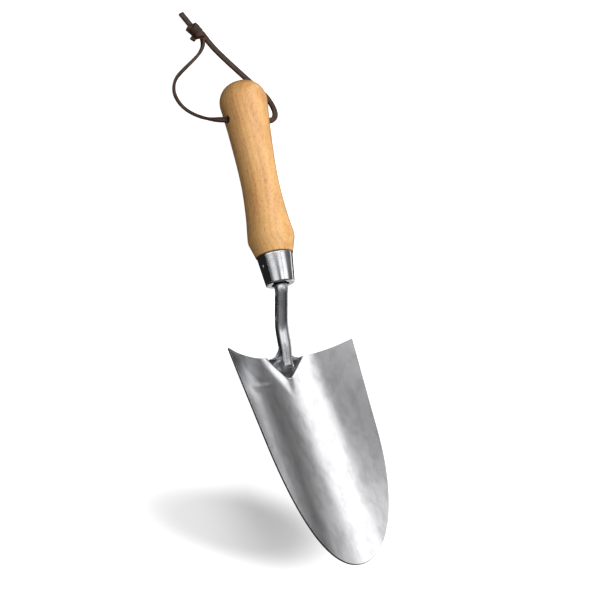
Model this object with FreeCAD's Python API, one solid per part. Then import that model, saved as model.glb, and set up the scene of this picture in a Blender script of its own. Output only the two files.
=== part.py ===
"""Hand trowel: a pressed stainless blade on a forged steel neck, with a polished ferrule, a turned beech
handle and a leather hanging lace. It lies scoop up, on the blade's socket and the end of the handle.

The tool frame has X along the handle's axis towards the blade's tip, with X = 0 at the ferrule's mouth,
Y across and Z out of the scoop. place_at_rest() tilts the finished tool until it stands on its own two
supports. The lace, its knot and its ends then lie on that surface. All sizes are in millimetres.
"""

import FreeCAD, Part
import math
import os

from FreeCAD import Placement, Rotation, Vector

# Blade: a trough of one radius, cut to a spade outline, with a half-cone socket pressed into its back edge
BLADE_LENGTH = 139.5
BLADE_WIDTH = 87.0
BLADE_THICKNESS = 1.4
TROUGH_RADIUS = 69.0
BLADE_PITCH = 16.9
BLADE_HEEL_X = 43.5
BLADE_HEEL_Z = -14.7
SHOULDER_SETBACK = 1.9
SHOULDER_ROUNDING = 1.2
SIDE_LENGTH = 62.0
SIDE_TAPER = 5.4
TIP_SIDE_PULL = 42.0
TIP_FRONT_PULL = 22.0
SOCKET_LENGTH = 16.0
SOCKET_HALF_WIDTH = 12.6
SOCKET_DEPTH = 4.6
SOCKET_POINT = 0.15
SOCKET_ROUNDING = 0.9
LIP_HEIGHT = 0.4
LIP_OFFSET = 1.9
LIP_WIDTH = 1.9
GRID_STEP = 1.5
GRID_MARGIN = 6.0

# Neck: a round rod with a double bend, drawn down to a tapered tang inside the handle
NECK_RADIUS = 4.2
NECK_UPPER_BEND = (3.5, 0.0)
NECK_LOWER_BEND = (22.5, -8.3)
UPPER_BEND_RADIUS = 10.0
LOWER_BEND_RADIUS = 22.0
SEAT_LENGTH = 7.0
SEAT_CLEARANCE = 0.4
NECK_END_ROUNDING = 1.4
TANG_LENGTH = 58.0
TANG_TIP_RADIUS = 2.0

# Weld: the bead that flares out of the neck's underside and fills the socket round its end
WELD_RUN_BACK = 6.5
WELD_START_HALF_WIDTH = 3.4
WELD_START_DROP = 4.0
WELD_FLARE_BACK = 2.6
WELD_FLARE_HALF_WIDTH = 5.6
WELD_FLARE_DROP = 2.0
WELD_HEEL_HALF_WIDTH = 9.8
WELD_FRONT_HALF_WIDTH = 6.0

# Ferrule: a tapered sleeve with a flat mouth, pinned through the handle and the tang
FERRULE_LENGTH = 20.5
FERRULE_MOUTH_RADIUS = 9.0
FERRULE_TOP_RADIUS = 11.45
FERRULE_WALL = 1.1
FERRULE_EDGE = 0.7
NECK_GAP = 1.0
PIN_RADIUS = 1.4
PIN_SETBACK = 12.0
PIN_HEAD_RISE = 0.3

# Handle: a turned grip, waisted between a flare and a domed bulge
HANDLE_LENGTH = 115.8
COLLAR_STEP = 0.3
FLARE_SETBACK = 9.1
FLARE_RADIUS = 14.95
FLARE_ROUNDING = 1.9
FLARE_ROUNDING_DROP = 0.24
LOWER_GRIP_SETBACK = 18.4
LOWER_GRIP_RADIUS = 12.85
WAIST_SETBACK = 48.5
WAIST_RADIUS = 11.95
UPPER_GRIP_SETBACK = 21.0
UPPER_GRIP_RADIUS = 13.5
BULGE_RADIUS = 15.35
DOME_LENGTH = 14.3
DOME_SIDE_PULL = 7.5
DOME_END_PULL = 10.5
PLUG_RECESS = 0.6
LACE_HOLE_SETBACK = 25.8
LACE_HOLE_RADIUS = 2.3
LACE_HOLE_SOFTENING = 0.6

# Lace: a leather thong through the cross hole, with both legs running to one knot. Its places are given
# along X and Y from the cross hole's centre, with their height over the surface that the tool lies on.
# Each leg starts in the middle of the hole; the places with no height are those where it lies in it.
LACE_DIAMETER = 2.6
LACE_HOLE_CLEARANCE = 0.1
LACE_BEND_SHARE = 0.45
LEFT_LEG = (
    (0.0, -8.5),
    (-0.1, -16.8),
    (-1.2, -22.1, 12.2),
    (-4.5, -26.7, 7.2),
    (-8.8, -31.6, 3.5),
    (-12.9, -35.8, 1.9),
    (-17.9, -39.3, 1.7),
    (-24.4, -41.1, 1.7),
    (-32.3, -38.8, 1.7),
    (-38.7, -32.4, 1.7),
    (-45.2, -24.5, 1.7),
    (-51.7, -18.0, 1.7),
    (-58.1, -14.7, 1.9),
    (-62.8, -15.5, 2.9),
)
RIGHT_LEG = (
    (0.0, 8.0),
    (0.1, 15.2),
    (-0.9, 20.0, 13.0),
    (-5.2, 24.7, 10.2),
    (-11.5, 27.0, 6.2),
    (-17.8, 27.2, 2.9),
    (-23.1, 25.3, 1.5),
    (-36.1, 12.3, 1.35),
    (-50.4, -1.8, 1.35),
    (-59.1, -9.5, 1.8),
    (-64.0, -14.5, 4.5),
)
KNOT_START = (-59.3, -13.9)
KNOT_END = (-72.0, -23.0)
KNOT_DIAMETER = 9.0
KNOT_CLEARANCE = 0.05
TAIL_WIDTH = 3.3
TAIL_THICKNESS = 2.0
LONG_TAIL = ((-69.0, -20.6, 3.6), (-79.8, -25.7, 1.4))
SHORT_TAIL = ((-65.0, -18.4, 3.6), (-62.0, -22.0, 1.6))

# How finely surfaces are sampled to find the tool's box
BOX_ACCURACY = 0.02

# Stations that follow from the sizes
NECK_END_Z = BLADE_HEEL_Z + SEAT_CLEARANCE + NECK_RADIUS
COLLAR_RADIUS = FERRULE_TOP_RADIUS + COLLAR_STEP
FLARE_X = -FERRULE_LENGTH - FLARE_SETBACK
WAIST_X = -FERRULE_LENGTH - WAIST_SETBACK
HANDLE_END_X = -FERRULE_LENGTH - HANDLE_LENGTH
BULGE_X = HANDLE_END_X + DOME_LENGTH
LACE_HOLE_X = HANDLE_END_X + LACE_HOLE_SETBACK


def revolved(edges):
    """The solid of revolution about the X axis of a closed profile in the XZ plane."""
    face = Part.Face(Part.Wire(edges))
    return face.revolve(Vector(), Vector(1, 0, 0), 360)


def outline(points):
    """Straight edges through (x, z) points in the XZ plane."""
    vectors = [Vector(x, 0, z) for x, z in points]
    return [Part.makeLine(a, b) for a, b in zip(vectors, vectors[1:])]


def bezier(*points):
    """A Bezier edge with (x, z) poles in the XZ plane."""
    curve = Part.BezierCurve()
    curve.setPoles([Vector(x, 0, z) for x, z in points])
    return curve.toShape()


def cross_rod(x, radius, reach):
    """A cylinder across the tool, from -reach to reach, at height zero."""
    return Part.makeCylinder(radius, 2 * reach, Vector(x, -reach, 0), Vector(0, 1, 0))


def largest(shape):
    """The biggest solid of a boolean's result."""
    return max(shape.Solids, key=lambda solid: solid.Volume)


# ---- Blade ------------------------------------------------------------------------------------------


def socket_depth(along, across):
    """How far the half-cone of the socket lies under the trough, with its rim rounded."""
    taper = 1 - along / SOCKET_LENGTH
    inside = taper * abs(taper) - (across / SOCKET_HALF_WIDTH) ** 2
    depth = SOCKET_DEPTH * inside / max(taper, SOCKET_POINT)
    return (depth + math.hypot(depth, SOCKET_ROUNDING)) / 2


def lip_rise(along, across):
    """How far the metal that the pressing pushes aside stands over the trough, round the socket's rim."""
    reach = along / SOCKET_LENGTH + abs(across) / SOCKET_HALF_WIDTH - 1
    slant = math.hypot(1 / SOCKET_LENGTH, 1 / SOCKET_HALF_WIDTH)
    return LIP_HEIGHT * math.exp(-(((reach / slant - LIP_OFFSET) / LIP_WIDTH) ** 2))


def blade_height(along, across, radius):
    """The height of a face of the sheet over the floor line, for that face's trough radius."""
    rise = TROUGH_RADIUS - math.sqrt(radius**2 - across**2)
    return rise - socket_depth(along, across) + lip_rise(along, across)


def blade_face(radius):
    """One face of the sheet, wider than the outline all round."""
    half = BLADE_WIDTH / 2 + GRID_MARGIN / 2
    columns = round((BLADE_LENGTH + 2 * GRID_MARGIN) / GRID_STEP)
    rows = 2 * round(half / GRID_STEP)
    step_along = (BLADE_LENGTH + 2 * GRID_MARGIN) / columns
    step_across = 2 * half / rows
    heights = [
        [
            blade_height(-GRID_MARGIN + i * step_along, -half + j * step_across, radius)
            for j in range(rows + 1)
        ]
        for i in range(columns + 1)
    ]
    surface = Part.BSplineSurface()
    surface.interpolate(heights, -GRID_MARGIN, step_along, -half, step_across)
    return surface


def sheet():
    """The pressed sheet before it is trimmed: two faces a sheet's thickness apart, closed all round."""
    top = blade_face(TROUGH_RADIUS)
    bottom = blade_face(TROUGH_RADIUS + BLADE_THICKNESS)
    faces = [top.toShape(), bottom.toShape()]
    for upper, lower in (
        (top.uIso(top.bounds()[0]), bottom.uIso(bottom.bounds()[0])),
        (top.uIso(top.bounds()[1]), bottom.uIso(bottom.bounds()[1])),
        (top.vIso(top.bounds()[2]), bottom.vIso(bottom.bounds()[2])),
        (top.vIso(top.bounds()[3]), bottom.vIso(bottom.bounds()[3])),
    ):
        faces.append(Part.makeRuledSurface(upper.toShape(), lower.toShape()))
    shell = Part.Shell(faces)
    shell.sewShape()
    return Part.makeSolid(shell)


def blade_outline():
    """The blade's plan: a slightly hollow back edge, tapering sides and a rounded point."""
    half = BLADE_WIDTH / 2
    narrow = half - SIDE_TAPER
    slope = SIDE_TAPER / (SIDE_LENGTH + SHOULDER_SETBACK)
    edges = [
        Part.Arc(
            Vector(-SHOULDER_SETBACK, half, 0), Vector(0, 0, 0), Vector(-SHOULDER_SETBACK, -half, 0)
        ).toShape()
    ]
    tip = Vector(BLADE_LENGTH, 0, 0)
    for side in (-1, 1):
        shoulder = Vector(-SHOULDER_SETBACK, side * half, 0)
        side_end = Vector(SIDE_LENGTH, side * narrow, 0)
        curve = Part.BezierCurve()
        curve.setPoles(
            [
                side_end,
                side_end + Vector(TIP_SIDE_PULL, -side * slope * TIP_SIDE_PULL, 0),
                tip + Vector(0, side * TIP_FRONT_PULL, 0),
                tip,
            ]
        )
        edges += [Part.makeLine(shoulder, side_end), curve.toShape()]
    return Part.Face(Part.Wire(Part.__sortEdges__(edges)))


def make_blade():
    """The sheet trimmed to its outline and pitched up from its heel."""
    reach = TROUGH_RADIUS
    cutter = blade_outline()
    cutter.translate(Vector(0, 0, -reach / 2))
    cutter = cutter.extrude(Vector(0, 0, reach))
    corners = [
        edge
        for edge in cutter.Edges
        if edge.Curve.TypeId == "Part::GeomLine"
        and abs(edge.tangentAt(edge.FirstParameter).z) > 0.9
        and edge.Vertexes[0].X < 0
    ]
    cutter = cutter.makeFillet(SHOULDER_ROUNDING, corners)
    blade = largest(sheet().common(cutter))
    blade.Placement = Placement(
        Vector(BLADE_HEEL_X, 0, BLADE_HEEL_Z), Rotation(Vector(0, 1, 0), -BLADE_PITCH)
    )
    return blade


# ---- Neck and weld ----------------------------------------------------------------------------------


def bend_arc(before, corner, after, radius):
    """The arc of a radius that rounds a corner, and the points where it meets the two straight runs."""
    back = (before - corner).normalize()
    forth = (after - corner).normalize()
    turn = math.pi - back.getAngle(forth)
    setback = radius * math.tan(turn / 2)
    start = corner + back * setback
    end = corner + forth * setback
    bisector = (back + forth).normalize()
    middle = corner + bisector * (radius / math.cos(turn / 2) - radius)
    return start, middle, end


def rounded_path(points, radii):
    """A wire of straight runs through points, with a tangent arc of its own radius at each inner point."""
    edges = []
    here = points[0]
    for before, corner, after, radius in zip(points, points[1:], points[2:], radii):
        start, middle, end = bend_arc(before, corner, after, radius)
        edges.append(Part.LineSegment(here, start).toShape())
        edges.append(Part.Arc(start, middle, end).toShape())
        here = end
    edges.append(Part.LineSegment(here, points[-1]).toShape())
    return Part.Wire(edges)


def tube(path, radius):
    """A round rod along a wire."""
    start = path.Edges[0]
    direction = start.tangentAt(start.FirstParameter)
    ring = Part.Wire(Part.makeCircle(radius, start.valueAt(start.FirstParameter), direction))
    return path.makePipeShell([ring], True, False)


def make_neck():
    """The bent rod, with its seated end rounded and its tang inside the handle."""
    points = [Vector(-FERRULE_WALL, 0, 0)]
    points += [Vector(x, 0, z) for x, z in (NECK_UPPER_BEND, NECK_LOWER_BEND)]
    points.append(Vector(BLADE_HEEL_X + SEAT_LENGTH, 0, NECK_END_Z))
    rod = tube(rounded_path(points, [UPPER_BEND_RADIUS, LOWER_BEND_RADIUS]), NECK_RADIUS)
    end_rim = max(rod.Edges, key=lambda edge: edge.CenterOfMass.x)
    rod = rod.makeFillet(NECK_END_ROUNDING, [end_rim])
    tang = Part.makeCone(
        NECK_RADIUS, TANG_TIP_RADIUS, TANG_LENGTH, Vector(-FERRULE_WALL, 0, 0), Vector(-1, 0, 0)
    )
    return largest(rod.fuse(tang).removeSplitter())


def socket_floor(along):
    """The tool frame's X and Z of the middle of the socket's sheet, at a distance along the blade."""
    pitch = math.radians(BLADE_PITCH)
    under = socket_depth(along, 0) + BLADE_THICKNESS / 2
    x = BLADE_HEEL_X + along * math.cos(pitch) + under * math.sin(pitch)
    return x, BLADE_HEEL_Z + along * math.sin(pitch) - under * math.cos(pitch)


def neck_axis(x):
    """The height of the neck's axis on its run into the socket."""
    bend_x, bend_z = NECK_LOWER_BEND
    share = (x - bend_x) / (BLADE_HEEL_X + SEAT_LENGTH - bend_x)
    return bend_z + share * (NECK_END_Z - bend_z)


def weld_section(x, half_width, top, bottom):
    """An elliptical wire across the tool."""
    half_height = (top - bottom) / 2
    centre = Vector(x, 0, bottom + half_height)
    side = centre + Vector(0, half_width, 0)
    up = centre + Vector(0, 0, half_height)
    first, second = (side, up) if half_width > half_height else (up, side)
    return Part.Wire(Part.Ellipse(first, second, centre).toShape())


def make_weld(neck, blade):
    """The bead, lofted from the neck's underside to the socket's floor and fitted to both."""
    start_x = BLADE_HEEL_X - WELD_RUN_BACK
    flare_x = BLADE_HEEL_X - WELD_FLARE_BACK
    heel_x, heel_floor = socket_floor(0)
    front_x, front_floor = socket_floor(SEAT_LENGTH)
    start_axis, flare_axis, heel_axis = (neck_axis(x) for x in (start_x, flare_x, heel_x))
    sections = [
        weld_section(start_x, WELD_START_HALF_WIDTH, start_axis, start_axis - WELD_START_DROP),
        weld_section(
            flare_x, WELD_FLARE_HALF_WIDTH, flare_axis, flare_axis - NECK_RADIUS - WELD_FLARE_DROP
        ),
        weld_section(heel_x, WELD_HEEL_HALF_WIDTH, heel_axis, heel_floor),
        weld_section(front_x, WELD_FRONT_HALF_WIDTH, NECK_END_Z - SEAT_CLEARANCE, front_floor),
    ]
    bead = Part.makeLoft(sections, True, False)
    return largest(bead.cut(neck).cut(blade))


# ---- Ferrule and pin --------------------------------------------------------------------------------


def ferrule_radius(x):
    """The ferrule's outer radius at a station along the axis."""
    share = -x / FERRULE_LENGTH
    return FERRULE_MOUTH_RADIUS + share * (FERRULE_TOP_RADIUS - FERRULE_MOUTH_RADIUS)


def make_ferrule():
    """The sleeve, turned from its wall's section, with the hole for its pin."""
    hole = NECK_RADIUS + NECK_GAP
    mouth = (0, FERRULE_MOUTH_RADIUS - FERRULE_EDGE)
    side = (-FERRULE_EDGE, ferrule_radius(-FERRULE_EDGE))
    inner_mouth = ferrule_radius(-FERRULE_WALL) - FERRULE_WALL
    edges = outline([(-FERRULE_WALL, hole), (0, hole), mouth])
    edges.append(bezier(mouth, (0, FERRULE_MOUTH_RADIUS), side))
    edges += outline(
        [
            side,
            (-FERRULE_LENGTH, FERRULE_TOP_RADIUS),
            (-FERRULE_LENGTH, FERRULE_TOP_RADIUS - FERRULE_WALL),
            (-FERRULE_WALL, inner_mouth),
            (-FERRULE_WALL, hole),
        ]
    )
    return revolved(edges).cut(cross_rod(-PIN_SETBACK, PIN_RADIUS, 2 * FERRULE_TOP_RADIUS))


def make_pin():
    """The cross pin, with a low rounded head at each end."""
    reach = ferrule_radius(-PIN_SETBACK) + PIN_HEAD_RISE
    pin = cross_rod(-PIN_SETBACK, PIN_RADIUS, reach)
    rims = [edge for edge in pin.Edges if edge.Curve.TypeId == "Part::GeomCircle"]
    return pin.makeFillet(PIN_HEAD_RISE, rims)


# ---- Handle -----------------------------------------------------------------------------------------


def grip_curve(flare_start):
    """The side of the grip from the bulge to the flare."""
    stations = (
        (BULGE_X, BULGE_RADIUS),
        (BULGE_X + UPPER_GRIP_SETBACK, UPPER_GRIP_RADIUS),
        (WAIST_X, WAIST_RADIUS),
        (FLARE_X - LOWER_GRIP_SETBACK, LOWER_GRIP_RADIUS),
        flare_start,
    )
    curve = Part.BSplineCurve()
    curve.interpolate(Points=[Vector(x, 0, z) for x, z in stations])
    return curve.toShape()


def make_handle(neck, pin):
    """The turned grip with its plug inside the ferrule, bored for the tang, the pin and the lace."""
    cone_slope = (FLARE_RADIUS - COLLAR_RADIUS) / FLARE_SETBACK
    flare_start = (FLARE_X - FLARE_ROUNDING, FLARE_RADIUS - FLARE_ROUNDING_DROP)
    flare_end = (FLARE_X + FLARE_ROUNDING, FLARE_RADIUS - cone_slope * FLARE_ROUNDING)
    plug_end = -FERRULE_WALL - PLUG_RECESS
    edges = [
        bezier(
            (HANDLE_END_X, 0),
            (HANDLE_END_X, DOME_END_PULL),
            (BULGE_X - DOME_SIDE_PULL, BULGE_RADIUS),
            (BULGE_X, BULGE_RADIUS),
        ),
        grip_curve(flare_start),
        bezier(flare_start, (FLARE_X, FLARE_RADIUS), flare_end),
    ]
    edges += outline(
        [
            flare_end,
            (-FERRULE_LENGTH, COLLAR_RADIUS),
            (-FERRULE_LENGTH, FERRULE_TOP_RADIUS - FERRULE_WALL),
            (plug_end, ferrule_radius(plug_end) - FERRULE_WALL),
            (plug_end, 0),
            (HANDLE_END_X, 0),
        ]
    )
    handle = revolved(edges).cut(neck).cut(pin)
    return largest(handle.cut(lace_hole()))


def grip_radius_at_hole():
    """The grip's radius where the lace hole leaves it, between its two nearest stations."""
    share = (LACE_HOLE_X - BULGE_X) / UPPER_GRIP_SETBACK
    return BULGE_RADIUS + share * (UPPER_GRIP_RADIUS - BULGE_RADIUS)


def lace_hole():
    """The cross hole, with its two mouths softened."""
    hole = cross_rod(LACE_HOLE_X, LACE_HOLE_RADIUS, 2 * BULGE_RADIUS)
    for side in (-1, 1):
        mouth = Vector(LACE_HOLE_X, side * (grip_radius_at_hole() + LACE_HOLE_SOFTENING), 0)
        hole = hole.fuse(
            Part.makeCone(
                LACE_HOLE_RADIUS + 2 * LACE_HOLE_SOFTENING,
                LACE_HOLE_RADIUS,
                2 * LACE_HOLE_SOFTENING,
                mouth,
                Vector(0, -side, 0),
            )
        )
    return hole


# ---- Resting place ----------------------------------------------------------------------------------


def box_of(shapes):
    """The box of the shapes' surface points."""
    box = FreeCAD.BoundBox()
    for shape in shapes:
        for point in shape.tessellate(BOX_ACCURACY)[0]:
            box.add(point)
    return box


def place_at_rest(tool):
    """Tilts the tool until its blade and handle stand level, and sets the box's bottom centre at zero."""
    tilt = 0.0
    for _ in range(4):
        turned = [tool[name].copy() for name in ("blade", "handle")]
        for shape in turned:
            shape.rotate(Vector(), Vector(0, 1, 0), -tilt)
        blade_low, handle_low = (box_of([shape]).ZMin for shape in turned)
        tilt += math.degrees(math.atan2(handle_low - blade_low, BLADE_HEEL_X - BULGE_X))
    for shape in tool.values():
        shape.rotate(Vector(), Vector(0, 1, 0), -tilt)
    box = box_of(list(tool.values()))
    shift = Vector(-box.Center.x, 0, -box.ZMin)
    for shape in tool.values():
        shape.translate(shift)
    print(f"rest tilt {tilt:.3f} deg, shift {shift.x:.3f} {shift.z:.3f}")
    return Placement(shift, Rotation(Vector(0, 1, 0), -tilt))


# ---- Lace -------------------------------------------------------------------------------------------


def from_hole(hole, place):
    """A lace place as a vector; one that gives no height lies in the hole."""
    along, across, *height = place
    lying = hole.z - LACE_HOLE_RADIUS + LACE_HOLE_CLEARANCE + LACE_DIAMETER / 2
    return Vector(hole.x + along, across, height[0] if height else lying)


def make_leg(name, hole, places, knot):
    """One leg of the lace, a tube along straight runs and tangent arcs that ends against the knot."""
    points = [from_hole(hole, (0.0, 0.0))] + [from_hole(hole, place) for place in places]
    radii = []
    for before, corner, after in zip(points, points[1:], points[2:]):
        turn = math.pi - (before - corner).getAngle(after - corner)
        shorter = min((corner - before).Length, (after - corner).Length)
        radii.append(LACE_BEND_SHARE * shorter / math.tan(turn / 2))
    path = rounded_path(points, radii)
    leg = tube(path, LACE_DIAMETER / 2)
    section = math.pi * LACE_DIAMETER**2 / 4
    print(f"{name}: {path.Length:.1f} long, volume over section {leg.Volume / section:.1f}")
    print(f"{name}: radii", [round(radius, 1) for radius in radii])
    return largest(leg.cut(knot))


def make_knot(hole):
    """The tied knot as a plain barrel that lies on the surface."""
    radius = KNOT_DIAMETER / 2
    start = from_hole(hole, (*KNOT_START, radius + KNOT_CLEARANCE))
    axis = from_hole(hole, (*KNOT_END, radius + KNOT_CLEARANCE)) - start
    end = Vector(axis.Length / 2, 0, 0)
    ellipse = Part.Ellipse(end, Vector(0, 0, radius), Vector())
    barrel = revolved([Part.ArcOfEllipse(ellipse, 0, math.pi).toShape(), Part.makeLine(-end, end)])
    barrel.Placement = Placement(start + axis / 2, Rotation(Vector(1, 0, 0), axis))
    return barrel


def make_tail(hole, ends, knot):
    """A flat end of the lace that comes out of the knot."""
    start, end = (from_hole(hole, place) for place in ends)
    run = end - start
    strip = Part.makeBox(run.Length, TAIL_WIDTH, TAIL_THICKNESS)
    strip.translate(Vector(0, -TAIL_WIDTH / 2, -TAIL_THICKNESS / 2))
    level = Vector(0, 0, 1).cross(run)
    strip.Placement = Placement(start, Rotation(run, level, run.cross(level))) * strip.Placement
    return largest(strip.cut(knot))


def make_lace(hole):
    knot = make_knot(hole)
    return {
        "lanyard_left": make_leg("lanyard_left", hole, LEFT_LEG, knot),
        "lanyard_right": make_leg("lanyard_right", hole, RIGHT_LEG, knot),
        "lanyard_knot": knot,
        "lanyard_tail": make_tail(hole, LONG_TAIL, knot),
        "lanyard_stub": make_tail(hole, SHORT_TAIL, knot),
    }


def main():
    os.makedirs("parts", exist_ok=True)
    blade = make_blade()
    neck = make_neck()
    pin = make_pin()
    tool = {
        "blade": blade,
        "neck": neck.cut(pin),
        "neck_weld": make_weld(neck, blade),
        "ferrule": make_ferrule(),
        "ferrule_pin": pin,
        "handle": make_handle(neck, pin),
    }
    rest = place_at_rest(tool)
    tool.update(make_lace(rest.multVec(Vector(LACE_HOLE_X, 0, 0))))
    for name, shape in tool.items():
        box = box_of([shape])
        print(
            f"{name}: valid {shape.isValid()} solids {len(shape.Solids)} volume {shape.Volume:.0f} "
            f"x {box.XMin:.1f} {box.XMax:.1f} y {box.YMin:.1f} {box.YMax:.1f} z {box.ZMin:.1f} {box.ZMax:.1f}"
        )
        shape.exportStep(f"parts/{name}.step")


main()
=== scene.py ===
"""Hand trowel: a pressed blade on a welded neck, a polished ferrule, a turned beech handle and a leather
lace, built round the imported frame. Lengths are in metres.

Pieces of the tool are made in its own frame, with X along the handle's axis towards the blade's tip and
X = 0 at the ferrule's mouth, and stand in the row frame through REST. The lace lies on the floor and is
made in the row frame.
"""

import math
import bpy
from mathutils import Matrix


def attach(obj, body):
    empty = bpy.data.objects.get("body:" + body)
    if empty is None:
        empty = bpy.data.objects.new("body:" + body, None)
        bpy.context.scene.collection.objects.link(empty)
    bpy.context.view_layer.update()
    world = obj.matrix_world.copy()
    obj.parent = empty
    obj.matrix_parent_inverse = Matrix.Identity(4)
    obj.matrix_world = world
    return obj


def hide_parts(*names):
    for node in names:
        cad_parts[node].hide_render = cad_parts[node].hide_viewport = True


bl_info = {
    "name": "Hand Trowel",
    "version": (1, 0, 0),
    "blender": (4, 5, 0),
    "location": "View3D > Sidebar > Trowel",
    "description": "Builds a hand trowel with a pressed steel blade, a beech handle and a leather lace",
    "category": "Object",
}

import bmesh
import bpy
from bpy.props import FloatProperty, FloatVectorProperty, PointerProperty
from mathutils import Matrix, Vector

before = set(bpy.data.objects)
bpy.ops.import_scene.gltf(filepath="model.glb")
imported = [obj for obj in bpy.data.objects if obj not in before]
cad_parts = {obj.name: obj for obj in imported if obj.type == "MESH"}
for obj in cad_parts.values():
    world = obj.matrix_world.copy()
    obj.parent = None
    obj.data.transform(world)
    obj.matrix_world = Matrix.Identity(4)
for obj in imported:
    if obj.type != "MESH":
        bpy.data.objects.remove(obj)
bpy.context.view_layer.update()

# Where the finished tool lies: tipped until it stands on its blade's socket and its handle's bulge
REST = Matrix.Translation((-0.020151, 0, 0.019083)) @ Matrix.Rotation(math.radians(-1.757), 4, "Y")

# The lace's two legs, each from the middle of the cross hole to the knot, in the row frame
LEFT_LEG = (
    (-0.1306, 0.0, 0.0148),
    (-0.1306, -0.0085, 0.0148),
    (-0.1307, -0.0168, 0.0148),
    (-0.1318, -0.0221, 0.0122),
    (-0.1351, -0.0267, 0.0072),
    (-0.1394, -0.0316, 0.0035),
    (-0.1435, -0.0358, 0.0021),
    (-0.1485, -0.0393, 0.0019),
    (-0.1550, -0.0411, 0.0019),
    (-0.1629, -0.0388, 0.0019),
    (-0.1693, -0.0324, 0.0019),
    (-0.1758, -0.0245, 0.0019),
    (-0.1823, -0.0173, 0.0019),
    (-0.1887, -0.0135, 0.0021),
    (-0.1934, -0.0146, 0.0031),
)
RIGHT_LEG = (
    (-0.1306, 0.0, 0.0148),
    (-0.1306, 0.0080, 0.0148),
    (-0.1305, 0.0152, 0.0148),
    (-0.1315, 0.0200, 0.0130),
    (-0.1358, 0.0247, 0.0102),
    (-0.1421, 0.0270, 0.0062),
    (-0.1484, 0.0272, 0.0029),
    (-0.1537, 0.0253, 0.0015),
    (-0.1667, 0.0123, 0.00135),
    (-0.1810, -0.0018, 0.00135),
    (-0.1897, -0.0095, 0.0018),
    (-0.1946, -0.0145, 0.0045),
)

# The lace's two cut ends, each from inside the knot to its free tip, in the row frame
LONG_END = ((-0.1980, -0.0200, 0.0040), (-0.2100, -0.0258, 0.0014))
SHORT_END = ((-0.1950, -0.0180, 0.0030), (-0.1912, -0.0212, 0.0018))

# Where a piece stands that is made in the row frame
IN_ROW = Matrix.Identity(4)


def tone(red, green, blue):
    """A display colour, each part from 0 to 255, as the linear colour that Blender mixes in."""

    def linear(part):
        part /= 255
        return part / 12.92 if part <= 0.04045 else ((part + 0.055) / 1.055) ** 2.4

    return linear(red), linear(green), linear(blue)


def length_property(name, description, default):
    return FloatProperty(name=name, description=description, default=default, unit="LENGTH", precision=5)


def place_property(name, description, default):
    return FloatVectorProperty(
        name=name, description=description, default=default, subtype="TRANSLATION", unit="LENGTH", precision=5
    )


def colour_property(name, description, default):
    return FloatVectorProperty(
        name=name, description=description, default=default, subtype="COLOR", min=0, max=1
    )


# ---- Sizes and colours ------------------------------------------------------------------------------


class BladeSizes(bpy.types.PropertyGroup):
    length: length_property("Length", "From the back edge to the tip", 0.1395)
    width: length_property("Width", "Across the shoulders", 0.087)
    thickness: length_property("Thickness", "Of the sheet", 0.0014)
    trough_radius: length_property("Trough radius", "Of the scoop across the blade", 0.069)
    shoulder_setback: length_property("Shoulder setback", "How far the shoulders stand back", 0.0019)
    side_length: length_property("Side length", "Of the straight part of the sides", 0.062)
    side_taper: length_property("Side taper", "How much each side closes over its length", 0.0054)
    tip_side_pull: length_property("Tip side pull", "How long the tip's curve follows the side", 0.042)
    tip_front_pull: length_property("Tip front pull", "How blunt the tip is", 0.022)
    socket_length: length_property("Socket length", "Of the pressing that takes the neck", 0.0168)
    socket_half_width: length_property("Socket half width", "At the back edge", 0.0126)
    socket_depth: length_property("Socket depth", "Under the trough at the back edge", 0.0046)
    socket_rounding: length_property("Socket rounding", "Of the socket's rim", 0.0005)
    socket_slant: FloatProperty(
        name="Socket slant", description="How far it leans off the middle for its length", default=0.10
    )
    lip_height: length_property("Lip height", "Of the metal raised round the socket", 0.0013)
    lip_width: length_property("Lip width", "From the lip's crest to its foot", 0.0072)
    crease_height: length_property("Crease height", "Of the crease beside the socket", 0.00040)
    pitch: FloatProperty(
        name="Pitch",
        description="How far the blade rises from the handle's axis",
        default=math.radians(16.9),
        subtype="ANGLE",
    )
    heel: place_property(
        "Heel", "The middle of the blade's back edge, from the ferrule's mouth", (0.0435, 0, -0.0147)
    )


class NeckSizes(bpy.types.PropertyGroup):
    radius: length_property("Radius", "Of the rod", 0.0042)
    upper_bend: place_property("Upper bend", "Where the bend nearer the ferrule turns", (0.0035, 0, 0))
    lower_bend: place_property("Lower bend", "Where the bend nearer the blade turns", (0.0243, 0, -0.0091))
    upper_bend_radius: length_property("Upper bend radius", "Of the bend nearer the ferrule", 0.010)
    lower_bend_radius: length_property("Lower bend radius", "Of the bend nearer the blade", 0.028)
    end: place_property("End", "The rod's end in the blade's socket", (0.0505, 0, -0.0101))
    weld_run: length_property("Weld run", "How far the bead starts behind the blade", 0.0065)
    weld_flare: length_property("Weld flare", "How quickly the bead widens", 0.0013)
    weld_inset: length_property("Weld inset", "From the bead's side to the socket's rim", 0.0022)


class FerruleSizes(bpy.types.PropertyGroup):
    length: length_property("Length", "Along the handle", 0.0188)
    mouth_radius: length_property("Mouth radius", "At the neck", 0.0090)
    top_radius: length_property("Top radius", "At the handle", 0.01125)
    wall: length_property("Wall", "Of the sleeve", 0.0011)
    hole_radius: length_property("Hole radius", "Of the hole round the neck", 0.0054)
    edge: length_property("Edge", "Rounding of the mouth's rim", 0.0007)
    pin_setback: length_property("Pin setback", "From the mouth to the pin", 0.012)
    pin_radius: length_property("Pin radius", "Of the pin across the ferrule", 0.0014)
    dimple: length_property("Dimple", "How deep the ferrule is dented round the pin", 0.0004)


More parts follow.
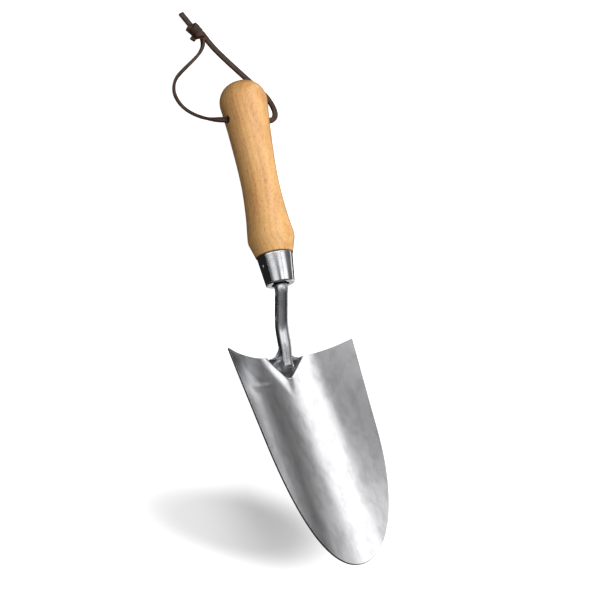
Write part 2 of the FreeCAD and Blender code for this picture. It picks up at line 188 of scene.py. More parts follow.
class HandleSizes(bpy.types.PropertyGroup):
    length: length_property("Length", "From the ferrule to the end", 0.1175)
    collar_radius: length_property("Collar radius", "Where the wood meets the ferrule", 0.01165)
    flare_setback: length_property("Flare setback", "From the ferrule to the flare", 0.0108)
    flare_radius: length_property("Flare radius", "At the flare's edge", 0.01495)
    flare_rounding: length_property("Flare rounding", "Of the flare's edge", 0.0019)
    lower_grip_radius: length_property("Lower grip radius", "Between the flare and the waist", 0.01285)
    lower_grip_setback: length_property("Lower grip setback", "From the flare to that radius", 0.0184)
    waist_radius: length_property("Waist radius", "At the narrowest", 0.01195)
    waist_setback: length_property("Waist setback", "From the ferrule to the waist", 0.0502)
    upper_grip_radius: length_property("Upper grip radius", "Between the waist and the bulge", 0.0135)
    upper_grip_setback: length_property("Upper grip setback", "From the bulge to that radius", 0.021)
    bulge_radius: length_property("Bulge radius", "At the widest", 0.01535)
    dome_length: length_property("Dome length", "From the bulge to the end", 0.0143)
    hole_setback: length_property("Hole setback", "From the end to the lace hole", 0.0258)
    hole_radius: length_property("Hole radius", "Of the lace hole", 0.0023)
    hole_softening: length_property("Hole softening", "Rounding of the lace hole's mouths", 0.0006)


class LaceSizes(bpy.types.PropertyGroup):
    width: length_property("Width", "Of the leather strip", 0.0036)
    thickness: length_property("Thickness", "Of the leather strip", 0.0020)
    exit_reach: length_property("Exit reach", "From the handle's middle to a mouth of its cross hole", 0.0143)
    knot: place_property("Knot", "The knot's middle, in the row frame", (-0.1964, -0.0189, 0.0043))
    knot_run: FloatVectorProperty(
        name="Knot run", description="Which way the knot lies", default=(0.813, 0.582, 0), subtype="DIRECTION"
    )


class Finishes(bpy.types.PropertyGroup):
    steel: colour_property("Steel", "Brushed stainless steel", tone(205, 205, 207))
    polished: colour_property("Polished steel", "Ferrule, neck and pin", tone(214, 215, 218))
    edge: colour_property("Cut edge", "The dull edge round the blade", tone(110, 110, 110))
    # Painted shade: a near-black colour that stands in for the shade where the neck goes into the ferrule
    gap: colour_property("Gap", "The dark gap round the neck", tone(24, 22, 20))
    seam: colour_property("Weld", "The weld's darker metal", tone(165, 165, 168))
    beech: colour_property("Beech", "The wood between its figure", tone(254, 201, 126))
    beech_dark: colour_property("Beech figure", "Growth lines and flecks", tone(192, 104, 40))
    joint_shade: colour_property("Joint", "The shade where the wood meets the ferrule", tone(58, 36, 22))
    leather: colour_property("Leather", "The lace's face", tone(50, 31, 22))
    leather_worn: colour_property("Worn leather", "The lace's rubbed places", tone(88, 55, 37))


class StudioSettings(bpy.types.PropertyGroup):
    camera_place: place_property("Camera place", "In the row frame", (0.18157, -0.42596, 0.75394))
    camera_turn: FloatVectorProperty(
        name="Camera turn",
        description="The camera's rotation",
        default=tuple(math.radians(turn) for turn in (18.427, -27.893, 78.137)),
        subtype="EULER",
    )
    lens: FloatProperty(name="Lens", description="Focal length", default=85, unit="CAMERA")
    floor: colour_property("Floor", "The table's pale top", (0.53, 0.53, 0.53))
    # How low the glow stays in the oval sets how dark its painted shadow is
    floor_lift: FloatProperty(
        name="Floor lift", description="The table's own glow in the oval beside the blade's tip", default=0.44
    )
    key: FloatProperty(name="Key", description="Brightness of the broad lamp and card overhead", default=2.8)
    fill: FloatProperty(name="Fill", description="Brightness of the second lamp and left card", default=1.1)
    ambient: FloatProperty(name="Ambient", description="Strength of the room's light", default=0.14)


# ---- Shader maths -----------------------------------------------------------------------------------


class Field:
    """A value in a shader, on which Python's operators add Math nodes."""

    def __init__(self, paint, socket):
        self.paint = paint
        self.socket = socket

    def _math(self, operation, *values):
        return self.paint.node("Math", {"operation": operation}, dict(enumerate(values)))

    def __add__(self, other):
        return self._math("ADD", self, other)

    __radd__ = __add__

    def __sub__(self, other):
        return self._math("SUBTRACT", self, other)

    def __rsub__(self, other):
        return self._math("SUBTRACT", other, self)

    def __mul__(self, other):
        return self._math("MULTIPLY", self, other)

    __rmul__ = __mul__

    def __truediv__(self, other):
        return self._math("DIVIDE", self, other)

    def __pow__(self, other):
        return self._math("POWER", self, other)

    def sine(self):
        return self._math("SINE", self)

    def root(self):
        return self._math("SQRT", self)

    def step(self, low, high):
        """A smooth step from 0 at low to 1 at high."""
        settings = {"interpolation_type": "SMOOTHSTEP"}
        return self.paint.node("MapRange", settings, {0: self, 1: low, 2: high})


class Paint:
    """The node tree of one material or world while it is being put together."""

    def __init__(self, tree):
        self.tree = tree
        tree.nodes.clear()

    def node(self, kind, settings=None, sockets=None, out=0):
        """Adds a node: its settings first, then the values or links of its sockets."""
        made = self.tree.nodes.new("ShaderNode" + kind)
        for name, value in (settings or {}).items():
            setattr(made, name, value)
        for name, value in (sockets or {}).items():
            if isinstance(value, Field):
                self.tree.links.new(value.socket, made.inputs[name])
            else:
                made.inputs[name].default_value = value
        return Field(self, made.outputs[out]) if len(made.outputs) else made

    def place(self, within=REST):
        """The point being shaded, in metres, in a frame that is set in the row frame."""
        sockets = {0: self.node("TexCoord", out=3), 1: within.translation, 2: within.to_euler()}
        return self.node("Mapping", {"vector_type": "TEXTURE"}, sockets)

    def parts(self, vector):
        """The three numbers of a vector."""
        split = self.node("SeparateXYZ", sockets={0: vector}).socket.node
        return [Field(self, socket) for socket in split.outputs]

    def stretched(self, vector, scale):
        """A vector scaled part by part."""
        return self.node("Mapping", {"vector_type": "POINT"}, {0: vector, 3: scale})

    def noise(self, vector, scale=1.0, detail=2.0, roughness=0.5):
        sockets = {"Vector": vector, "Scale": scale, "Detail": detail, "Roughness": roughness}
        return self.node("TexNoise", {"noise_dimensions": "3D"}, sockets)

    def mix(self, factor, first, second):
        """A colour between two colours."""
        sockets = {0: factor, 6: solid(first), 7: solid(second)}
        return self.node("Mix", {"data_type": "RGBA"}, sockets, out=2)

    def bump(self, height, distance, strength, under=None):
        sockets = {"Height": height, "Distance": distance, "Strength": strength}
        if under is not None:
            sockets["Normal"] = under
        return self.node("Bump", sockets=sockets)

    def shown(self):
        """1 where the camera sees a place itself, or in or through another surface."""
        rays = self.node("LightPath").socket.node.outputs
        return sum(Field(self, rays["Is %s Ray" % kind]) for kind in ("Camera", "Glossy", "Transmission"))

    def surface(self, shader):
        self.node("OutputMaterial", sockets={0: shader})


def solid(colour):
    """A colour with its alpha, or a field as it is."""
    return colour if isinstance(colour, Field) else (*colour[:3], 1)


def new_paint(name):
    material = bpy.data.materials.new(name)
    material.use_nodes = True
    return material, Paint(material.node_tree)


# ---- Materials --------------------------------------------------------------------------------------


def brushed_steel(finishes, within):
    """Stainless sheet, brushed along the blade."""
    material, paint = new_paint("brushed_steel")
    place = paint.place(within)
    lines = paint.noise(paint.stretched(place, (60, 3600, 3600)), detail=3, roughness=0.6)
    bands = paint.noise(paint.stretched(place, (35, 260, 260)), detail=4, roughness=0.65)
    clouds = paint.noise(paint.stretched(place, (34, 62, 62)), detail=3, roughness=0.55)
    stains = paint.noise(paint.stretched(place, (70, 150, 150)), detail=5, roughness=0.65).step(0.40, 0.70)
    shade = paint.mix(stains, finishes.steel, [part * 0.80 for part in finishes.steel])
    roughness = 0.17 + bands * 0.03 + clouds * 0.05 + lines * 0.03
    normal = paint.bump(lines, 0.00002, 0.45, under=paint.bump(clouds, 0.0010, 0.06))
    sockets = {"Base Color": shade, "Metallic": 1.0, "Roughness": roughness, "Normal": normal}
    paint.surface(paint.node("BsdfPrincipled", sockets=sockets))
    return material


def cut_edge(finishes):
    """The dull cut edge round the sheet."""
    material, paint = new_paint("cut_edge")
    marks = paint.noise(paint.place(), 900, detail=3)
    sockets = {"Base Color": solid(finishes.edge), "Metallic": 1.0, "Roughness": 0.35 + marks * 0.2}
    paint.surface(paint.node("BsdfPrincipled", sockets=sockets))
    return material


def polished_steel(finishes, name, stretch, roughness, crevice):
    """Polished steel with the faint marks of its polishing, and painted shade where the neck goes into the
    ferrule's hole. crevice takes a spot's station and its distance from the axis, and gives how far that
    painted shade covers it."""
    material, paint = new_paint(name)
    place = paint.place()
    marks = paint.noise(paint.stretched(place, stretch), detail=3, roughness=0.6)
    smears = paint.noise(place, 120, detail=3)
    shade = paint.mix(smears.step(0.4, 0.75), finishes.polished, [part * 0.8 for part in finishes.polished])
    along, across, up = paint.parts(place)
    # Painted shade: the steel turns dark and dull where the neck goes into the ferrule's hole
    gap = crevice(along, (across * across + up * up).root())
    shade = paint.mix(gap, shade, finishes.gap)
    finish = roughness + marks * 0.04 + smears.step(0.5, 0.8) * 0.04
    normal = paint.bump(marks, 0.000012, 0.15)
    sockets = {"Base Color": shade, "Metallic": 1 - gap, "Roughness": finish, "Normal": normal}
    paint.surface(paint.node("BsdfPrincipled", sockets=sockets))
    return material


def weld_steel(finishes):
    """The weld's rippled, darker metal."""
    material, paint = new_paint("weld_steel")
    place = paint.place()
    ripples = paint.noise(paint.stretched(place, (500, 160, 500)), detail=2)
    shade = paint.mix(ripples.step(0.35, 0.65), finishes.seam, finishes.polished)
    normal = paint.bump(ripples, 0.0003, 0.5)
    sockets = {"Base Color": shade, "Metallic": 1.0, "Roughness": 0.26 + ripples * 0.1, "Normal": normal}
    paint.surface(paint.node("BsdfPrincipled", sockets=sockets))
    return material


def beech(finishes, ferrule_length):
    """Oiled beech: faint growth lines and short ray flecks along the handle, and painted shade where it meets
    the ferrule.
    """
    material, paint = new_paint("beech")
    place = paint.place()
    along, across, up = paint.parts(place)
    sway = paint.noise(paint.stretched(place, (9, 60, 60)), detail=2)
    heart_across, heart_up, rings_per_metre = 0.02, 0.05, 2600
    rings = ((across + heart_across) ** 2 + (up + heart_up) ** 2).root() + sway * 0.004
    growth = ((rings * rings_per_metre).sine() * 0.5 + 0.5).step(0.25, 1.0)
    flecks = paint.noise(paint.stretched(place, (380, 2500, 2500)), detail=3, roughness=0.6)
    flecks = flecks.step(0.46, 0.68)
    pores = paint.noise(paint.stretched(place, (700, 4200, 4200)), detail=2).step(0.48, 0.66)
    broad = paint.noise(paint.stretched(place, (14, 90, 90)), detail=3)
    figure = growth * 0.14 + flecks * 0.42 + pores * 0.26 + broad.step(0.4, 0.7) * 0.34
    shade = paint.mix(figure, finishes.beech, finishes.beech_dark)
    # Painted shade: the wood turns dark just where it meets the ferrule
    joint_end = -ferrule_length - 0.0001
    joint_shade = along.step(joint_end - 0.0005, joint_end)
    shade = paint.mix(joint_shade * 0.85, shade, finishes.joint_shade)
    roughness = 0.33 + flecks * 0.12 + broad * 0.1
    normal = paint.bump(flecks * -0.6 - pores * 0.4, 0.00006, 0.5)
    sockets = {"Base Color": shade, "Roughness": roughness, "Normal": normal}
    sockets.update({"Coat Weight": 0.5, "Coat Roughness": 0.26, "IOR": 1.45})
    paint.surface(paint.node("BsdfPrincipled", sockets=sockets))
    return material


def leather(finishes):
    """Waxed leather, with a fine grain and rubbed places."""
    material, paint = new_paint("leather")
    place = paint.place()
    grain = paint.node("TexVoronoi", {"feature": "F1"}, {"Vector": place, "Scale": 2600})
    creases = paint.noise(place, 900, detail=3)
    worn = paint.noise(place, 150, detail=4, roughness=0.6).step(0.42, 0.72)
    shade = paint.mix(worn * 0.7 + creases * 0.2, finishes.leather, finishes.leather_worn)
    roughness = 0.5 + creases * 0.2
    normal = paint.bump(grain * -0.5 + creases, 0.00012, 0.7)
    sockets = {"Base Color": shade, "Roughness": roughness, "Normal": normal}
    paint.surface(paint.node("BsdfPrincipled", sockets=sockets))
    return material


# ---- Mesh making ------------------------------------------------------------------------------------


def piece(name, points, faces, material, place=REST):
    """A smooth mesh object on the tool."""
    mesh = bpy.data.meshes.new(name)
    mesh.from_pydata([tuple(place @ point) for point in points], [], faces)
    mesh.materials.append(material)
    tidy_mesh(mesh)
    made = bpy.data.objects.new(name, mesh)
    bpy.context.scene.collection.objects.link(made)
    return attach(made, "root")


def tidy_mesh(mesh):
    """Joins doubled points, turns the faces outwards and shades them smooth."""
    work = bmesh.new()
    work.from_mesh(mesh)
    bmesh.ops.remove_doubles(work, verts=work.verts, dist=1e-6)
    bmesh.ops.recalc_face_normals(work, faces=work.faces)
    for face in work.faces:
        face.smooth = True
    work.to_mesh(mesh)
    work.free()


def end_caps(count, total):
    """The two faces that close a swept section of count points, first and last of a total."""
    return [tuple(range(count)), tuple(range(total - count, total))]


def grid_faces(rows, columns, start=0, closed=False):
    """The quads between rows of points; closed joins each row's end to its start."""
    faces = []
    for row in range(rows - 1):
        for column in range(columns if closed else columns - 1):
            here = start + row * columns + column
            across = start + row * columns + (column + 1) % columns
            faces.append((here, across, across + columns, here + columns))
    return faces


def subdivided(made, levels):
    modifier = made.modifiers.new("smoothing", "SUBSURF")
    modifier.levels = modifier.render_levels = levels


def eased(value, low, high):
    """A smooth rise from 0 at low to 1 at high."""
    share = min(max((value - low) / (high - low), 0.0), 1.0)
    return share * share * (3 - 2 * share)


def bezier(poles, share):
    """The point at a share of a Bezier curve."""
    points = [Vector(pole) for pole in poles]
    while len(points) > 1:
        points = [a.lerp(b, share) for a, b in zip(points, points[1:])]
    return points[0]


def bezier_run(poles, steps, start=0.0, end=1.0):
    return [bezier(poles, start + (end - start) * step / steps) for step in range(steps + 1)]


def respaced(points, shares):
    """Points at shares of a line's length."""
    reach = [0.0]
    for a, b in zip(points, points[1:]):
        reach.append(reach[-1] + (b - a).length)
    placed = []
    index = 0
    for share in shares:
        target = share * reach[-1]
        while index < len(points) - 2 and reach[index + 1] < target:
            index += 1
        run = reach[index + 1] - reach[index]
        placed.append(points[index].lerp(points[index + 1], (target - reach[index]) / run))
    return placed


def revolved(profile, steps):
    """Points and faces of a profile of (x, radius) turned about the X axis."""
    points = []
    for x, radius in profile:
        for step in range(steps):
            angle = 2 * math.pi * step / steps
            points.append(Vector((x, radius * math.sin(angle), radius * math.cos(angle))))
    return points, grid_faces(len(profile), steps, closed=True)


# ---- Blade ------------------------------------------------------------------------------------------


def from_socket(sizes, along, across):
    """How far a spot is along the socket and out from its middle line, as shares of its length and half
    width."""
    keel_rounding = 0.0016
    out = math.hypot(across + sizes.socket_slant * along, keel_rounding)
    return along / sizes.socket_length, out / sizes.socket_half_width


def socket_depth(sizes, along, across):
    """How far the half-cone of the socket lies under the trough, with its rim rounded."""
    run, out = from_socket(sizes, along, across)
    taper = 1 - run
    least_taper = 0.15
    depth = sizes.socket_depth * (taper * abs(taper) - out**2) / max(taper, least_taper)
    return (depth + math.hypot(depth, sizes.socket_rounding)) / 2


def hump(value, middle, width):
    """A smooth bump of height 1."""
    return math.exp(-(((value - middle) / width) ** 2))


def lip_rise(sizes, along, across):
    """How far the metal that the pressing pushed aside stands over the trough, most of it on one side."""
    run, out = from_socket(sizes, along, across)
    slant = math.hypot(1 / sizes.socket_length, 1 / sizes.socket_half_width)
    outside = (run + out - 1) / slant
    low_side = 0.25
    side = low_side + (1 - low_side) * eased(-across, -0.002, 0.005)
    rise = max(1 - max(outside, 0.0) / sizes.lip_width, 0.0) ** 2
    inner_foot, crest = -0.0022, 0.0002
    return sizes.lip_height * side * rise * eased(outside, inner_foot, crest)


def crease_rise(sizes, along, across):
    """The crease that the pressing left beside the socket, on one side, with a dent behind it."""
    crest = 0.0205 + 0.20 * (-across - 0.020)
    ends = eased(-across, 0.012, 0.019) * eased(across, -0.036, -0.027)
    crease = hump(along, crest, 0.0026) * ends
    dent = hump(along, 0.0095, 0.0045) * hump(across, -0.021, 0.006)
    dent_share = 0.6
    return sizes.crease_height * (crease - dent * dent_share)


def blade_point(sizes, along, across, depth):
    """A point of the sheet, at a depth under its upper face."""
    radius = sizes.trough_radius + depth
    rise = sizes.trough_radius - math.sqrt(radius**2 - across**2)
    rise += lip_rise(sizes, along, across) + crease_rise(sizes, along, across)
    return Vector((along, across, rise - socket_depth(sizes, along, across)))


def blade_borders(sizes):
    """The plan's back, front, left and right borders. Left and right run from the back towards the tip, up
    to a share of the tip's curve, and the front is the rest of it."""
    side_share = 0.62
    half = sizes.width / 2
    back = [(-sizes.shoulder_setback, -half), (sizes.shoulder_setback, 0), (-sizes.shoulder_setback, half)]
    sides = []
    fronts = []
    for side in (-1, 1):
        shoulder = Vector((-sizes.shoulder_setback, side * half))
        side_end = Vector((sizes.side_length, side * (half - sizes.side_taper)))
        slope = sizes.side_taper / (sizes.side_length + sizes.shoulder_setback)
        tip = Vector((sizes.length, 0))
        poles = [
            side_end,
            side_end + Vector((sizes.tip_side_pull, -side * slope * sizes.tip_side_pull)),
            tip + Vector((0, side * sizes.tip_front_pull)),
            tip,
        ]
        sides.append([shoulder] + bezier_run(poles, 30, 0.0, side_share))
        fronts.append(bezier_run(poles, 30, side_share, 1.0))
    front = fronts[0] + fronts[1][-2::-1]
    return bezier_run(back, 40), front, sides[0], sides[1]


def rim_shares(steps, rim):
    """Even shares, with one more close to each end that keeps the rim's rounding tight."""
    return [0.0, rim] + [step / steps for step in range(1, steps)] + [1 - rim, 1.0]


def blade_plan(sizes, along_steps, across_steps):
    """The plan's points as rows from the back edge to the tip."""
    back, front, left, right = blade_borders(sizes)
    across = rim_shares(across_steps, 0.004)
    along = rim_shares(along_steps, 0.0025)
    back, front = (respaced(border, across) for border in (back, front))
    left, right = (respaced(border, along) for border in (left, right))
    rows = []
    for row, t in enumerate(along):
        line = []
        for column, s in enumerate(across):
            ends = back[column].lerp(front[column], t) + left[row].lerp(right[row], s)
            corners = back[0].lerp(back[-1], s).lerp(front[0].lerp(front[-1], s), t)
            line.append(ends - corners)
        rows.append(line)
    return rows


def blade_place(sizes):
    """Where the blade's own frame stands in the row frame."""
    return REST @ Matrix.Translation(sizes.heel) @ Matrix.Rotation(-sizes.pitch, 4, "Y")


def make_blade(sizes, material, edge_material):
    """The sheet: two grids of its plan, joined all round by a cut edge."""
    rows = blade_plan(sizes, along_steps=140, across_steps=90)
    columns = len(rows[0])
    points = []
    faces = []
    for depth in (0.0, sizes.thickness):
        faces += grid_faces(len(rows), columns, start=len(points))
        points += [blade_point(sizes, spot.x, spot.y, depth) for row in rows for spot in row]
    count = len(points) // 2
    rim = [row * columns for row in range(len(rows))]
    rim += [count - columns + column for column in range(1, columns)]
    rim += [row * columns + columns - 1 for row in range(len(rows) - 2, -1, -1)]
    rim += [column for column in range(columns - 2, 0, -1)]
    rings = [rim]
    edge_rings = (0.12, 0.88)
    for share in edge_rings:
        rings.append(list(range(len(points), len(points) + len(rim))))
        points += [points[spot].lerp(points[spot + count], share) for spot in rim]
    rings.append([spot + count for spot in rim])
    cut = len(faces)
    for upper, lower in zip(rings, rings[1:]):
        for here, there in zip(range(-1, len(rim) - 1), range(len(rim))):
            faces.append((upper[here], upper[there], lower[there], lower[here]))
    made = piece("blade_sheet", points, faces, material, blade_place(sizes))
    made.data.materials.append(edge_material)
    for face in made.data.polygons[cut:]:
        face.material_index = 1
    subdivided(made, 1)
    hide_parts("blade")
    return made


# ---- Neck -------------------------------------------------------------------------------------------

# How long the rounding of the rod's end is, as a share of the rod's radius
END_ROUNDING = 0.25


def rounded_line(corners, radii, steps):
    """Points along straight runs, with an arc of its own radius at each inner corner."""
    line = [corners[0]]
    for before, corner, after, radius in zip(corners, corners[1:], corners[2:], radii):
        back = (before - corner).normalized()
        forth = (after - corner).normalized()
        turn = math.pi - back.angle(forth)
        centre = corner + (back + forth).normalized() * (radius / math.cos(turn / 2))
        start = corner + back * radius * math.tan(turn / 2) - centre
        axis = back.cross(forth)
        for step in range(steps + 1):
            line.append(centre + Matrix.Rotation(-turn * step / steps, 3, axis) @ start)
    return line + [corners[-1]]


def swept(line, sections):
    """Points and faces of one closed section carried along a line; a section is a list of (side, up)."""
    points = []
    count = len(sections[0])
    for index, (spot, section) in enumerate(zip(line, sections)):
        ahead = line[min(index + 1, len(line) - 1)] - line[max(index - 1, 0)]
        side = Vector((0, 1, 0))
        up = ahead.cross(side).normalized()
        points += [spot + side * across + up * rise for across, rise in section]
    faces = grid_faces(len(line), count, closed=True) + end_caps(count, len(points))
    return points, faces


def rod_radius(sizes, left):
    """The rod's radius at a distance from its end, where the weld has drawn it down."""
    drawn_share, drawn_run, end_share = 0.26, 0.017, 0.8
    drawn = sizes.radius * (1 - drawn_share * (1 - eased(left, 0.0, drawn_run)))
    rounding = sizes.radius * END_ROUNDING
    if left >= rounding:
        return drawn
    return drawn * (end_share + (1 - end_share) * math.sqrt(left / rounding))


def make_neck(sizes, material):
    """The rod from just inside the ferrule's mouth, leaning a little to one side where it is drawn down."""
    start = Vector((-0.0015, 0, 0))
    corners = [start, Vector(sizes.upper_bend), Vector(sizes.lower_bend), Vector(sizes.end)]
    line = rounded_line(corners, [sizes.upper_bend_radius, sizes.lower_bend_radius], 24)
    steps = 90
    around = 48
    line = respaced(line, [step / steps for step in range(steps + 1)])
    angles = [2 * math.pi * step / around for step in range(around)]
    sections = []
    for spot in line:
        left = (line[-1] - spot).length
        radius = rod_radius(sizes, left)
        lean = 0.35 * (sizes.radius - radius)
        sections.append([(radius * math.sin(angle) - lean, radius * math.cos(angle)) for angle in angles])
    points, faces = swept(line, sections)
    made = piece("neck_rod", points, faces, material)
    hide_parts("neck")
    return made


def weld_section(sizes, blade, past):
    """The bead's closed section at a distance past the blade's heel, as (across, height) points."""
    bend = Vector(sizes.lower_bend)
    end = Vector(sizes.end)
    heel = Vector(blade.heel)
    axis = bend.z + (end.z - bend.z) * (heel.x + past - bend.x) / (end.x - bend.x)
    seat = end.x - heel.x
    socket = blade.socket_half_width * (1 - past / blade.socket_length)
    spread = blade.socket_half_width - sizes.radius - sizes.weld_inset
    flare = sizes.radius + spread * math.exp(min(past, 0.0) / sizes.weld_flare)
    width = flare if past < 0 else socket - sizes.weld_inset
    floor = heel.z + past * math.tan(blade.pitch) - socket_depth(blade, past, 0)
    edge = axis + (heel.z + sizes.weld_inset / 3 - axis) * eased(past, -sizes.weld_run, -0.0005)
    edge += (floor - edge) * eased(past, 0.0, 0.0025)
    start_height, climb = -0.12, 0.58
    top = axis + (climb * eased(past, 0, seat) + start_height) * sizes.radius
    top += (floor - top) * eased(past, seat, seat + 0.0012)
    shallow = axis - sizes.radius * 0.95
    deep = min(floor - blade.thickness / 2, axis - sizes.radius)
    under = shallow + (deep - shallow) * eased(past, -sizes.weld_run, 0)
    core = rod_radius(sizes, max(seat - past, sizes.radius * END_ROUNDING)) * 0.93
    half_steps = 24
    hollow = 2.3
    section = []
    for step in range(2 * half_steps + 1):
        across = width * (step / half_steps - 1)
        out = max(abs(across) - core, 0.0) / (width - core) if width > core else 1.0
        section.append((across, edge + (top - edge) * (1 - out) ** hollow))
    for step in range(1, half_steps):
        across = width * (1 - 2 * step / half_steps)
        section.append((across, edge + (under - edge) * math.sqrt(1 - (across / width) ** 2)))
    return section


def make_weld(sizes, blade, material):
    """The bead that flares out of the neck's underside and fills the socket round its end."""
    seat = sizes.end[0] - blade.heel[0]
    reach = sizes.weld_run + seat + 0.0014
    points = []
    stations = 56
    for station in range(stations):
        past = -sizes.weld_run + reach * station / (stations - 1)
        for across, height in weld_section(sizes, blade, past):
            points.append(Vector((blade.heel[0] + past, across, height)))
    count = len(points) // stations
    faces = grid_faces(stations, count, closed=True) + end_caps(count, len(points))
    made = piece("neck_bead", points, faces, material)
    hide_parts("neck_weld")
    return made


# ---- Ferrule and pin --------------------------------------------------------------------------------


def ferrule_radius(sizes, x):
    return sizes.mouth_radius + (sizes.top_radius - sizes.mouth_radius) * -x / sizes.length


def ferrule_profile(sizes):
    """The sleeve's profile, from the hole over the mouth and the outside to the inside of its top."""
    edge = sizes.edge
    hole = sizes.hole_radius
    lip = 0.00025
    soft = lip * 0.3
    profile = [(-sizes.wall, hole), (-lip, hole), (-soft, hole + soft), (0, hole + lip)]
    mouth = (0, sizes.mouth_radius - edge)
    corner = (0, sizes.mouth_radius)
    side = (-edge, ferrule_radius(sizes, -edge))
    profile += [tuple(point) for point in bezier_run([mouth, corner, side], 6)]
    steps = 48
    for step in range(1, steps):
        x = -edge - (sizes.length - edge - lip) * step / steps
        profile.append((x, ferrule_radius(sizes, x)))
    top = sizes.top_radius
    profile += [(-sizes.length + soft, top - soft), (-sizes.length, top - lip)]
    profile.append((-sizes.length, top - sizes.wall))
    return profile


def make_ferrule(sizes, material):
    """The turned sleeve, with a soft dent round each end of its pin."""
    points, faces = revolved(ferrule_profile(sizes), 160)
    dent_radius = 1.3 * sizes.pin_radius
    for point in points:
        reach = math.hypot(point.x + sizes.pin_setback, point.z)
        outside = math.hypot(point.y, point.z) > ferrule_radius(sizes, point.x) - sizes.wall / 2
        if outside and reach < 3 * sizes.pin_radius:
            point.y -= math.copysign(sizes.dimple * hump(reach, 0, dent_radius), point.y)
    made = piece("ferrule_sleeve", points, faces, material)
    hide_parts("ferrule")
    return made


def make_pin(sizes, material):
    """The pin from side to side, with a low dome on each end."""
    reach = ferrule_radius(sizes, -sizes.pin_setback)
    dome_height = 0.0002
    dome = []
    for share in (0.01, 0.3, 0.6, 0.85, 1):
        dome.append((reach + dome_height * math.cos(math.pi / 2 * share), sizes.pin_radius * share))
    profile = [(-x, radius) for x, radius in dome] + dome[::-1]
    points, faces = revolved(profile, 32)
    points = [Vector((point.y - sizes.pin_setback, point.x, point.z)) for point in points]
    made = piece("ferrule_rivet", points, faces, material)
    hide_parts("ferrule_pin")
    return made


# ---- Handle -----------------------------------------------------------------------------------------


def smooth_through(points, steps):
    """A smooth line through points of (x, radius), with Hermite runs between them."""
    slopes = []
    for index in range(len(points)):
        before = points[max(index - 1, 0)]
        after = points[min(index + 1, len(points) - 1)]
        slopes.append((after[1] - before[1]) / (after[0] - before[0]))
    line = [Vector(points[0])]
    for (a, b), (slope_a, slope_b) in zip(zip(points, points[1:]), zip(slopes, slopes[1:])):
        run = b[0] - a[0]
        for step in range(1, steps + 1):
            t = step / steps
            radius = (
                (2 * t**3 - 3 * t**2 + 1) * a[1]
                + (t**3 - 2 * t**2 + t) * run * slope_a
                + (3 * t**2 - 2 * t**3) * b[1]
                + (t**3 - t**2) * run * slope_b
            )
            line.append(Vector((a[0] + t * run, radius)))
    return line


def handle_line(sizes, ferrule):
    """The grip's profile from the end of its dome to the collar at the ferrule."""
    end = -ferrule.length - sizes.length
    bulge = end + sizes.dome_length
    flare = -ferrule.length - sizes.flare_setback
    rounding = sizes.flare_rounding
    slope = (sizes.flare_radius - sizes.collar_radius) / sizes.flare_setback
    flare_start = (flare - rounding, sizes.flare_radius - rounding / 8)
    flare_end = (flare + rounding, sizes.flare_radius - slope * rounding)
    stations = [
        (bulge, sizes.bulge_radius),
        (bulge + sizes.upper_grip_setback, sizes.upper_grip_radius),
        (-ferrule.length - sizes.waist_setback, sizes.waist_radius),
        (flare - sizes.lower_grip_setback, sizes.lower_grip_radius),
        flare_start,
    ]
    end_pull, bulge_pull = 0.0105, 0.0075
    dome = [(end, 0), (end, end_pull), (bulge - bulge_pull, sizes.bulge_radius), (bulge, sizes.bulge_radius)]
    line = bezier_run(dome, 60)
    line += smooth_through(stations, 30)[1:]
    line += bezier_run([flare_start, (flare, sizes.flare_radius), flare_end], 12)[1:]
    soft = 0.0003
    line += [Vector((-ferrule.length - soft, sizes.collar_radius + slope * soft))]
    line += [Vector((-ferrule.length, sizes.collar_radius - soft))]
    line += [Vector((-ferrule.length, ferrule.top_radius - ferrule.wall))]
    return line


def radius_at(line, x):
    """The profile's radius at a station."""
    for a, b in zip(line, line[1:]):
        if a.x <= x <= b.x and b.x > a.x:
            return a.y + (b.y - a.y) * (x - a.x) / (b.x - a.x)
    return line[-1].y


def make_handle(sizes, ferrule, material):
    """The turned grip, with a lace hole let into its grid on both sides."""
    line = handle_line(sizes, ferrule)
    hole_x = -ferrule.length - sizes.length + sizes.hole_setback
    around = 144
    block = 4
    pitch = 2 * math.pi * radius_at(line, hole_x) / around
    stations = handle_stations(line, hole_x, pitch, block)
    profile = [(x, radius_at(line, x)) for x in stations]
    profile[0] = (line[0].x, 1e-5)
    profile += [(point.x, point.y) for point in line[-2:]]
    points, faces = revolved(profile, around)
    rim = sizes.hole_radius + sizes.hole_softening
    middle = min(range(len(profile)), key=lambda row: abs(profile[row][0] - hole_x))
    for side in (1, -1):
        centre = around // 4 if side > 0 else 3 * around // 4
        faces, ring = pierce(points, faces, (middle, centre), block, around, rim, hole_x)
        add_tunnel(points, faces, ring, sizes, side, hole_x)
    made = piece("handle_grip", points, faces, material)
    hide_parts("handle")
    return made


def handle_stations(line, hole_x, pitch, block):
    """Stations along the handle: close at the dome's end, and even near the lace hole."""
    end = line[0].x
    reach = 2 * block
    near = [hole_x + step * pitch for step in range(-reach, reach + 1)]
    dome_steps = 36
    dome = [end + (near[0] - end) * (step / dome_steps) ** 2 for step in range(dome_steps)]
    last = line[-3].x
    count = 110
    rest = [near[-1] + (last - near[-1]) * step / count for step in range(1, count + 1)]
    return dome + near + rest


